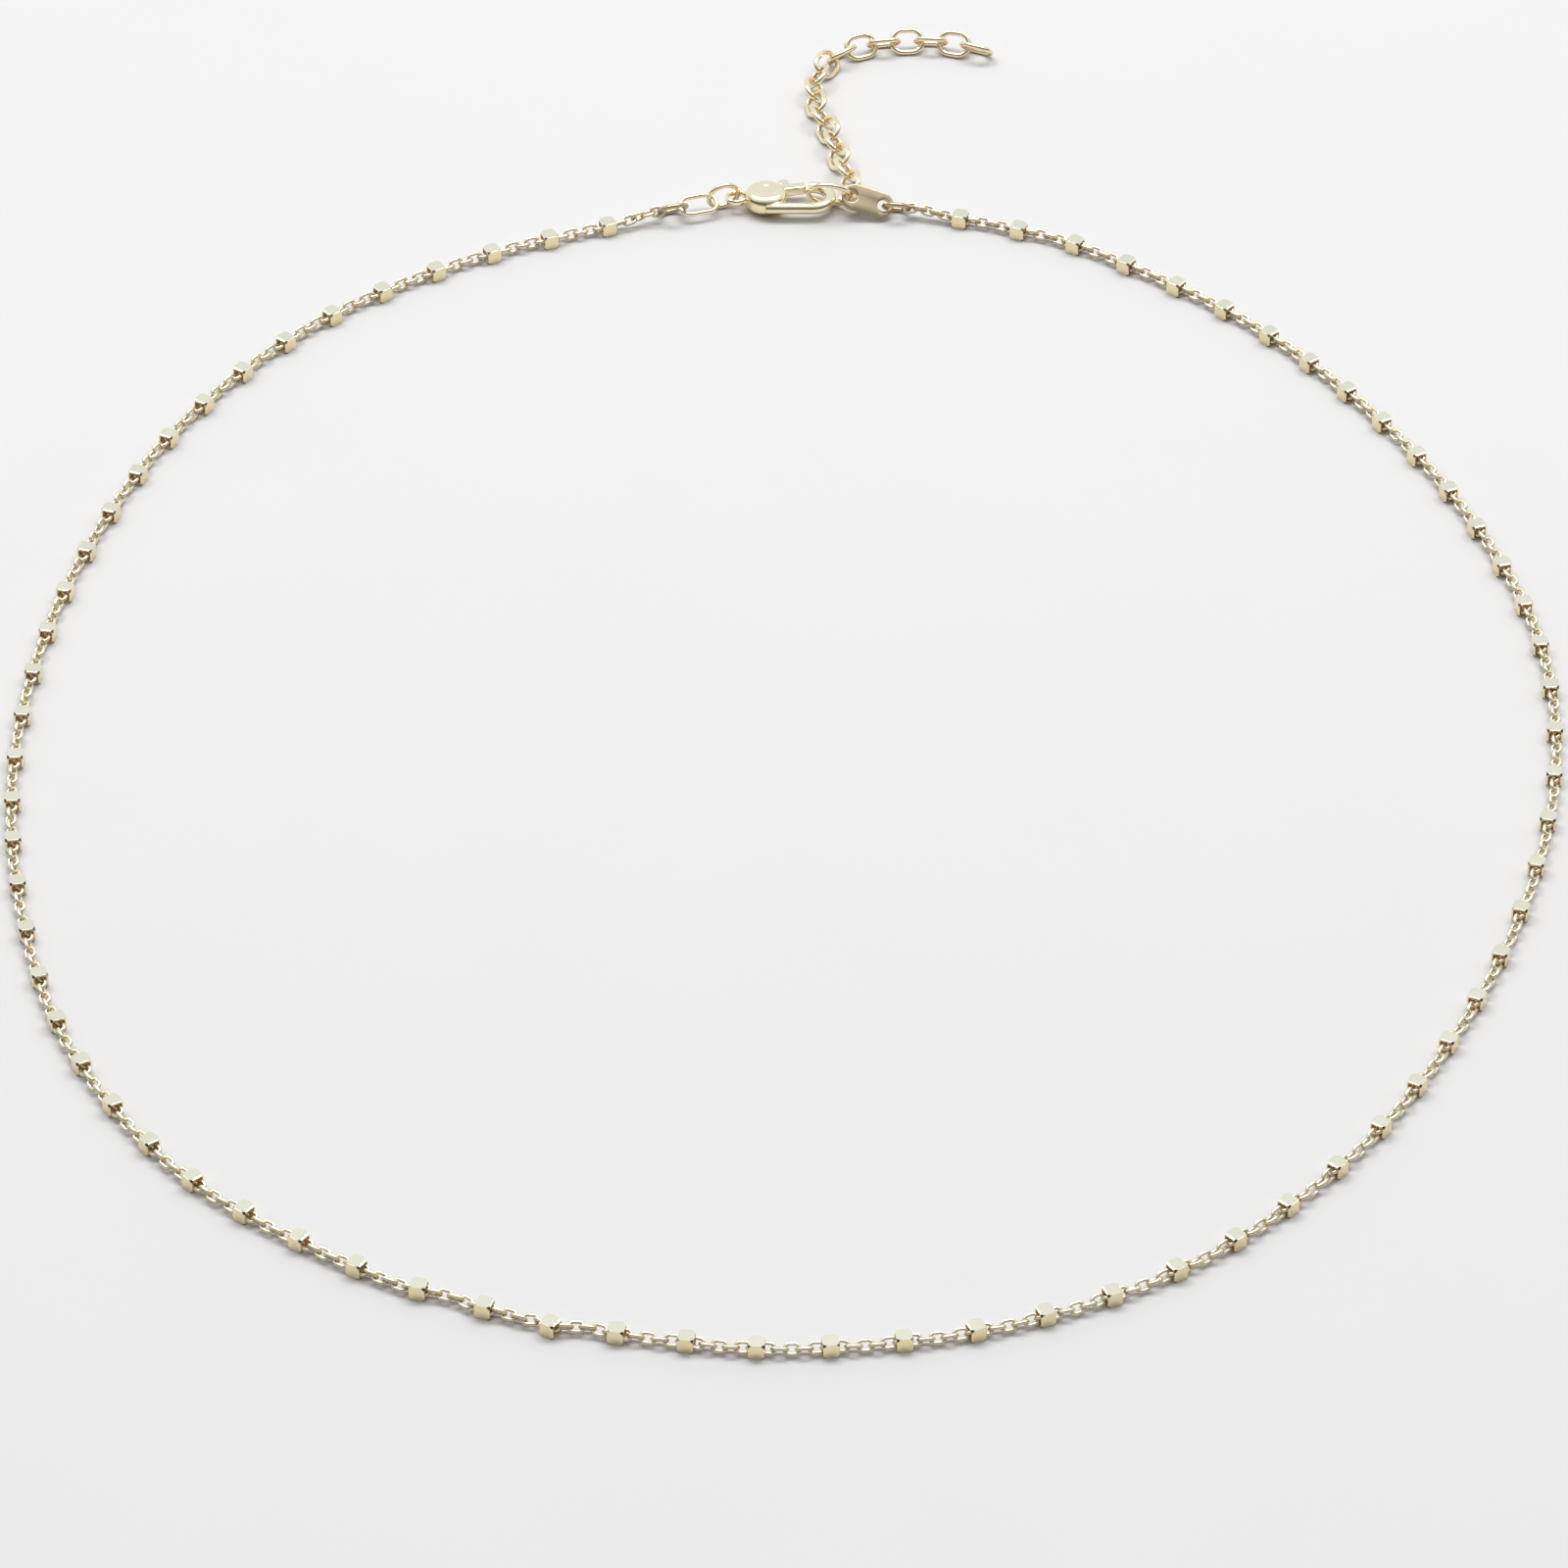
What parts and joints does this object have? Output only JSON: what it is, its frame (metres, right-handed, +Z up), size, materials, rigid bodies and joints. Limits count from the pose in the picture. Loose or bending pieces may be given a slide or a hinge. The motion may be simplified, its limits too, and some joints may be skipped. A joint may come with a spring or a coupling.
{
  "type": "cube chain necklace",
  "caption": "Fine cable-chain necklace strung with small drilled metal cubes, closed with a lobster clasp and an extender chain, lying on a flat surface.",
  "frame": {"origin": "bottom centre of the whole box, on the surface that the necklace lies on", "axes": "+Z up; +Y from the front of the loop to the clasp and the extender; +X to the right as seen from the front"},
  "size_m": [0.1176, 0.1645, 0.0035],
  "materials": {
    "cubes": "polished",
    "fine_chain": "polished",
    "findings": "polished"
  },
  "bodies": {
    "necklace": {"cubes": "cubes", "chain": "fine_chain", "clasp_body": "findings", "clasp_pin": "findings", "clasp_ring": "findings", "oval_link": "findings", "left_end_ring": "findings", "left_chain_link": "fine_chain", "hook_ring": "findings", "end_plate": "findings", "right_end_ring": "findings", "right_chain_link": "fine_chain", "extender_link_1": "findings", "extender_link_2": "findings", "extender_link_3": "findings", "extender_link_4": "findings", "extender_link_5": "findings", "extender_link_6": "findings", "extender_link_7": "findings", "extender_link_8": "findings", "extender_link_9": "findings", "extender_link_10": "findings", "extender_link_11": "findings", "extender_link_12": "findings", "extender_link_13": "findings", "extender_link_14": "findings", "extender_link_15": "findings", "extender_link_16": "findings", "extender_link_17": "findings", "extender_link_18": "findings"},
    "lever": {"clasp_lever": "findings"}
  },
  "joints": [
    {"name": "lever_turn", "type": "hinge", "parent": "necklace", "child": "lever", "pos_m": [-0.00145, 0.05915, 0.001], "axis": [0, 0, 1], "range_deg": [-20, 0], "stiffness_Nm_per_rad": 0.001}
  ]
}
